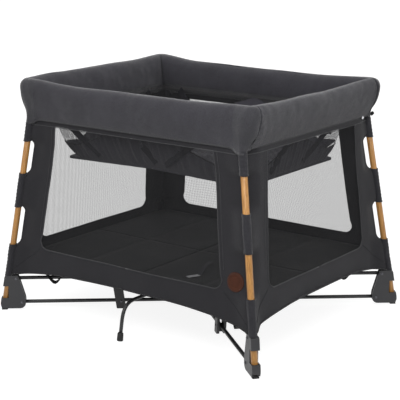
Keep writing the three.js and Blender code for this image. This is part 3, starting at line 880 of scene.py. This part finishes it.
def cover_half(corner, kind):
    """Half of one side of the padded cover, from the middle to the corner's mitre."""
    section = closed_curve(SECTION, SECTION_STEPS)
    stations = list(np.linspace(0.0, 0.70, 44)) + list(np.linspace(0.705, 1.0, 64))
    columns = len(section)
    points = [cover_point(corner, kind, s, spot) for s in stations for spot in section]
    faces = grid_faces(len(stations), columns, wrap=True)
    skin = len(faces)
    for ring in (0, len(stations) - 1):
        first = len(points)
        points.extend(points[ring * columns:(ring + 1) * columns])
        points.append(sum((points[first + i] for i in range(columns)), Vector()) / columns)
        faces += [(first + i, first + (i + 1) % columns, first + columns) for i in range(columns)]
    name = f"{kind}_rail_cover_{corner}"
    obj = outward(make(name, points, faces, RAIL_CLOTH))
    # painted highlight: the outer faces of the corner panels take the lighter copy of the rail cloth
    obj.data.materials.append(CORNER_HIGHLIGHT_CLOTH)
    for polygon in obj.data.polygons[:skin]:
        spot = section[polygon.index % columns]
        x, y, z = polygon.center
        if spot[0 if kind == "long" else 1] > COVER_TURN and seam_depth(kind, x, y, z)[1]:
            polygon.material_index = 1
    lower = SECTION[0]
    route = [cover_point(corner, kind, s, (lower[0] + 0.001, lower[1] + 0.001, lower[2] - 0.0005))
             for s in stations]
    trims = [tube(name + "_piping", route, 0.0016, PIPING, 8)]
    if kind == "short":
        # painted shadow: a thin black tube laid along the short side's corner seam stands for the shadow in
        # the fold there
        painted_seam_shadow = []
        for spot in section[3:28]:
            seam = corner_seam(spot[2]) - 0.0022
            places = [cover_point(corner, kind, s, spot) for s in stations]
            painted_seam_shadow.append(min(places, key=lambda p: abs(abs(p.y) - seam)))
        trims.append(tube(name + "_seam", painted_seam_shadow, 0.0012, BINDING_AND_SHADOW_LINE, 8))
        inner = [cover_point(corner, kind, 1.0, spot) for spot in section[36:62]]
        trims.append(tube(name + "_inner_seam", inner, 0.0016, BINDING_AND_SHADOW_LINE, 8))
    join_meshes(obj, *trims)
    if kind == "long":
        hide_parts(f"rail_cover_{corner}")
    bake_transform(obj)


# ---- floor, pad and tray ----
def floor_cloth(corner):
    """A quarter of the cloth floor, which meets the hems and dips to the leg."""
    sx, sy = CORNERS[corner]
    long_side, short_side = Side(corner, "long"), Side(corner, "short")
    wide, deep = (foot - splay * FLOOR_EDGE_Z for foot, splay in zip(FOOT, SPLAY))
    count = 30
    points = []
    for r in range(count):
        for c in range(count):
            a, b = r / (count - 1), c / (count - 1)
            x, y = a * (wide - 0.014), b * (deep - 0.014)
            long_edge = smooth_step((b - a) * 5 + 0.5)
            hem = short_side.bottom(y) + (long_side.bottom(x) - short_side.bottom(y)) * long_edge
            z = FLOOR_Z + (hem + 0.0035 - FLOOR_Z) * smooth_step(max(a, b) * 1.6 - 0.6)
            bow = 0.004 * math.sin(math.pi * a) * math.sin(math.pi * b)
            raised = HANDLE_ROOM * smooth_step((0.085 - math.hypot(x, y)) / 0.03)
            points.append(Vector((sx * x, sy * y, min(z, FLOOR_Z) - bow * 0.3 + raised)))
    area = area_of(points, count, count)
    obj = solid_sheet(f"floor_cloth_{corner}", points, count, count, SIDE_CLOTH, 0.0012)
    piece(obj, f"floor_pad_{corner}", "side_fabric")
    gather(obj)


def pad_quarter(corner):
    """A quarter of the folding floor pad: crowned panels with sewn fold lines and piped edges."""
    sx, sy = CORNERS[corner]
    folds = (0.0, PAD_HALF[0] / 2, PAD_HALF[0])
    xs = np.concatenate([np.linspace(folds[0], folds[1], 26)[:-1], np.linspace(folds[1], folds[2], 27)])
    ys = np.linspace(0, PAD_HALF[1], 40)
    tall = PAD_HIGH - PAD_LOW
    top, under = [], []
    for x in xs:
        for y in ys:
            near = min(abs(x - f) for f in folds)
            crown = smooth_step(near / 0.022) * smooth_step((PAD_HALF[1] - y) / 0.018)
            quilt = 0.5 - 0.5 * math.cos(2 * math.pi * y / (PAD_HALF[1] / 4))
            lift = crown * (0.17 + 0.01 * quilt) + 0.82
            chamfer = max(0.0, x + y - (PAD_HALF[0] + PAD_HALF[1] - PAD_CUT))
            shift = Vector((chamfer / 2, chamfer / 2, 0))
            rough = noise.noise(Vector((sx * x * 9, sy * y * 9, 3.1))) * 0.0022 * crown
            point = Vector((x, y, 0)) - shift
            high = PAD_LOW + tall * (0.45 + 0.55 * lift) + rough
            low = PAD_LOW + tall * 0.42 * (1 - min(crown * 1.6, 1))
            top.append(Vector((sx * point.x, sy * point.y, high)))
            under.append(Vector((sx * point.x, sy * point.y, low)))
    obj = outward(make(f"floor_mat_{corner}", top + under, quilt_faces(len(xs), len(ys)), PAD_CLOTH))
    edge = [(0.0, PAD_HALF[1]), (PAD_HALF[0] - PAD_CUT, PAD_HALF[1]),
            (PAD_HALF[0], PAD_HALF[1] - PAD_CUT), (PAD_HALF[0], 0.0)]
    route = []
    for a, b in zip(edge, edge[1:]):
        route += [(a[0] + (b[0] - a[0]) * k / 12, a[1] + (b[1] - a[1]) * k / 12) for k in range(12)]
    route.append(edge[-1])
    path = [Vector((sx * x, sy * y, PAD_LOW + tall * 0.46)) for x, y in route]
    join_meshes(obj, tube(f"mat_piping_{corner}", path, 0.0022, PIPING, 8))
    piece(obj, f"floor_pad_{corner}", "pad_fabric", f"floor_pad_{corner}")
    gather(obj)


def ribbon(name, route, width, side, material, thickness=0.0012):
    """A flat strap through points, whose width lies along side."""
    half = Vector(side).normalized() * (width / 2)
    points = [p + half * (k / 2 - 1) for p in route for k in range(5)]
    return solid_sheet(name, points, len(route), 5, material, thickness)


def mat_details():
    """The pad's blank label and its pull strap, near the front right corner."""
    lift = PAD_HIGH + 0.0042
    label = []
    for k in range(7):
        label.append(Vector((0.152 + 0.014 * k / 6, -0.268 + 0.040 * k / 6, lift + 0.0006 * math.sin(k))))
    tag = ribbon("mat_label", label, 0.017, (0.94, -0.33, 0), LABEL, 0.0006)
    strap = []
    for k in range(25):
        t = k / 24
        strap.append(Vector((0.116 + 0.052 * t, -0.095 - 0.132 * t, lift + 0.008 * math.sin(math.pi * t))))
    belt = ribbon("mat_strap", strap, 0.012, (0.93, 0.37, 0), STRAP_CLOTH)
    for obj in (tag, belt):
        piece(obj, "floor_pad_front_right", "pad_fabric")
        gather(obj)


def tray_level(kind, t):
    """The height of the tray floor's edge, which rises to its middle hinge."""
    return TRAY_LOW + (TRAY_HINGE * max(1 - t / 0.9, 0) if kind == "long" else 0.0)


def tray_foot(kind, t):
    """The lower edge of the tray's wall, which climbs round the corner."""
    return tray_level(kind, t) + 0.050 * smooth_step((t - 0.87) / 0.13)


def tray_at(corner, kind, t, z, out=0.0):
    """A point of the tray's leaning wall at height z. t runs from the middle of the side to its corner."""
    sx, sy = CORNERS[corner]
    long = kind == "long"
    low = tray_level(kind, t)
    up = max(z - low, 0) / (TRAY_HIGH - low)
    hx, hy = (foot + (top - foot) * up ** 0.8 for foot, top in zip(TRAY_FLOOR, TRAY_HALF))
    real = Vector((sx * t * (1 if long else 9), sy * t * (9 if long else 1), z * 3))
    ripple = wobble(real, 2.5, 0.0040) + wobble(real, 6.0, 0.0009)
    bulge = 0.003 * math.sin(math.pi * min(up, 1)) + ripple * smooth_step(up * 5) + out
    r = 0.060
    if t <= 0.9:
        x, y = ((hx - r) * t / 0.9, hy + bulge) if long else (hx + bulge, (hy - r) * t / 0.9)
    else:
        arc = (t - 0.9) / 0.1 * math.pi / 4
        turn = math.pi / 2 - arc if long else arc
        x = hx - r + (r + bulge) * math.cos(turn)
        y = hy - r + (r + bulge) * math.sin(turn)
    return Vector((sx * x, sy * y, z))


# straps sewn on the walls: side, the share of the half and the height at both ends, and the half it is on
TRAY_STRAPS = (
    ("long", (0.90, 0.658), (0.58, 0.535), -1),
    ("long", (0.84, 0.658), (0.90, 0.575), 1),
    ("long", (0.20, 0.538), (0.58, 0.622), 1),
    ("long", (0.00, 0.588), (0.10, 0.538), 1),
    ("short", (0.80, 0.658), (0.20, 0.535), 1),
    ("short", (0.30, 0.605), (0.60, 0.525), -1),
    ("short", (0.90, 0.658), (0.70, 0.560), -1),
)


def tray_top(kind, t):
    """Where the wall's cloth ends and the netting starts."""
    reach, height, slope = TRAY_NET_LINE[kind]
    along = t * (TRAY_HALF[0] if kind == "long" else TRAY_HALF[1]) * 0.94
    return min(TRAY_HIGH, height + slope * max(reach - along, 0) + 0.10 * max(along - reach, 0))


def tray_walls(corner):
    """The tray's cloth walls, the netting over them at the corner, and the straps, all hung from the leg."""
    body = f"leg_{corner}"
    sx, sy = CORNERS[corner]
    for kind in ("long", "short"):
        rows, columns = 60, 22
        points, net_points, rim = [], [], []
        for r in range(rows):
            t = r / (rows - 1)
            low, top = tray_foot(kind, t), tray_top(kind, t)
            for c in range(columns):
                points.append(tray_at(corner, kind, t, low + (top - low) * c / (columns - 1)))
            if top < TRAY_HIGH:
                for c in range(12):
                    net_points.append(tray_at(corner, kind, t, top + (TRAY_HIGH - top) * c / 11))
                rim.append(tray_at(corner, kind, t, top))
        side = Side(corner, kind)
        wall = solid_sheet(f"tray_wall_{kind}_{corner}", points, rows, columns, TRAY_CLOTH, 0.0016)
        join_meshes(wall, tube(f"tray_rim_{kind}_{corner}", rim, 0.0015, BINDING_AND_SHADOW_LINE, 8))
        piece(wall, body, "tray_fabric")
        side.squash(wall)
        net = make(f"tray_net_{kind}_{corner}", net_points, grid_faces(len(rim), 12), TRAY_NET)
        piece(net, body, "netting")
        side.squash(net)
    for index, (kind, begin, end, half) in enumerate(TRAY_STRAPS):
        if half != (sx if kind == "long" else sy):
            continue
        route = []
        for k in range(17):
            t, z = (a + (b - a) * k / 16 for a, b in zip(begin, end))
            route.append(tray_at(corner, kind, t, max(z, tray_foot(kind, t) + 0.004), 0.0024))
        run = route[-1] - route[0]
        width = run.cross(Vector((0, 1, 0)) if kind == "long" else Vector((1, 0, 0)))
        belt = ribbon(f"tray_strap_{index}_{corner}", route, 0.022, width, STRAP_CLOTH, 0.0014)
        piece(belt, body, "tray_fabric")
        Side(corner, kind).squash(belt)


def tray_floor(corner):
    """A quarter of the tray's padded floor, in two boards with a sewn line between."""
    sx, sy = CORNERS[corner]
    hx, hy = TRAY_FLOOR[0] + 0.004, TRAY_FLOOR[1] + 0.004
    count = 34
    top, under = [], []
    for r in range(count):
        for c in range(count):
            x, y = hx * r / (count - 1), hy * c / (count - 1)
            cut_in = max(0.0, x + y - (hx + hy - 0.012)) / 2
            crown = smooth_step(abs(x - hx / 2) / 0.02) * smooth_step(x / 0.02 + (0 if r else 1))
            crown *= smooth_step((hx - x) / 0.02) * smooth_step((hy - y) / 0.02)
            level = TRAY_LOW + TRAY_HINGE * (1 - x / hx)
            x, y = x - cut_in, y - cut_in
            top.append(Vector((sx * x, sy * y, level + 0.003 + 0.007 * crown)))
            under.append(Vector((sx * x, sy * y, level - 0.003 - 0.002 * crown)))
    obj = outward(make(f"tray_floor_{corner}", top + under, quilt_faces(count, count), TRAY_CLOTH))
    piece(obj, f"upper_tray_{corner}", "tray_fabric", f"upper_tray_{corner}")
    gather(obj)


def corner_strap(corner):
    """The webbing that holds the floor's corner down to the upper strut."""
    route = []
    for k in range(13):
        t = k / 12
        z = 0.129 + 0.010 * t - 0.045 * math.sin(math.pi * t) ** 2
        route.append(on_diagonal(corner, 0.520 - 0.085 * t, z))
    across = on_diagonal(corner, 0, 0, 1)
    obj = ribbon(f"corner_strap_{corner}", route, 0.030, across, WEBBING, 0.0020)
    piece(obj, f"leg_{corner}", "side_fabric")


def cover_snap(corner):
    """The snap that holds the cover's corner, and the end of its tape, at the back."""
    sx, sy = CORNERS[corner]
    snap = rivet(f"cover_snap_{corner}", (sx * 0.4275, sy * 0.298, 0.640), (sx, 0, -0.1), 0.0042, SNAP_STEEL)
    piece(snap, f"leg_{corner}", "bracket_plastic")
    start = leg_at(corner, COVER_LOW) + Vector((sx * 0.010, sy * 0.012, 0))
    end = start + Vector((sx * 0.003, sy * 0.010, 0.006))
    tab = straight(f"cover_tab_{corner}", start, end, 0.0055, BINDING_AND_SHADOW_LINE, 20)
    piece(tab, f"leg_{corner}", "side_fabric")


# ---- light, camera, floor ----
def studio():
    scene = bpy.context.scene
    data = bpy.data.cameras.new("camera")
    data.lens = 109.5
    data.sensor_width = 36.0
    camera = placed("camera", data)
    camera.location = (2.305, -3.094, 1.325)
    aim = Vector((0, 0, 0.364)) - camera.location
    camera.rotation_euler = aim.to_track_quat("-Z", "Y").to_euler()
    scene.camera = camera
    scene.view_settings.view_transform = "Standard"

    world = bpy.data.worlds.new("studio")
    scene.world = world
    world.use_nodes = True
    nodes, links = world.node_tree.nodes, world.node_tree.links
    place = nodes.new("ShaderNodeTexCoord")
    split = nodes.new("ShaderNodeSeparateXYZ")
    sky = nodes.new("ShaderNodeMapRange")
    for socket, value in (("From Min", -0.5), ("From Max", 0.8), ("To Min", 0.24), ("To Max", 0.75)):
        sky.inputs[socket].default_value = value
    links.new(place.outputs["Generated"], split.inputs["Vector"])
    links.new(split.outputs["Z"], sky.inputs["Value"])
    links.new(sky.outputs["Result"], nodes["Background"].inputs["Strength"])
    nodes["Background"].inputs["Color"].default_value = (1.0, 1.0, 1.0, 1)

    lights = (
        ("key", (1.05, -1.50, 1.50), 0.9, 17),
        ("fill", (-1.1, -2.9, 2.1), 2.0, 26),
        ("top", (0.2, 0.5, 3.2), 2.4, 16),
        ("side", (2.9, 0.5, 1.3), 1.5, 12),
    )
    for name, place, size, power in lights:
        lamp = bpy.data.lights.new(name, "AREA")
        lamp.shape = "DISK"
        lamp.size = size
        lamp.energy = power
        obj = placed(name, lamp)
        obj.location = place
        obj.rotation_euler = (Vector((0, 0, 0.4)) - Vector(place)).to_track_quat("-Z", "Y").to_euler()

    pale = Material("pale_floor", (0.26, 0.26, 0.26), 0.95)
    pale.set("Emission Color", (1, 1, 1, 1))
    pale.set("Emission Strength", 0.88)
    floor = make("studio_floor", [(-30, -30, 0), (30, -30, 0), (30, 30, 0), (-30, 30, 0)], [(0, 1, 2, 3)],
                 pale.material, smooth=False)
    floor.location.z = -0.0004
    floor.visible_diffuse = False


# ---- the play yard ----
studio()
for corner in CORNERS:
    frame_parts(corner)
    for kind in ("long", "short"):
        side = Side(corner, kind)
        side_cloth(side)
        window_net(side)
        side_seams(side)
        cover_half(corner, kind)
    corner_gusset(corner)
    leg_sleeves(corner)
    floor_cloth(corner)
    pad_quarter(corner)
    tray_walls(corner)
    tray_floor(corner)
    corner_strap(corner)
cover_snap("back_left")
cover_snap("back_right")
centre_parts()
leather_patch()
mat_details()
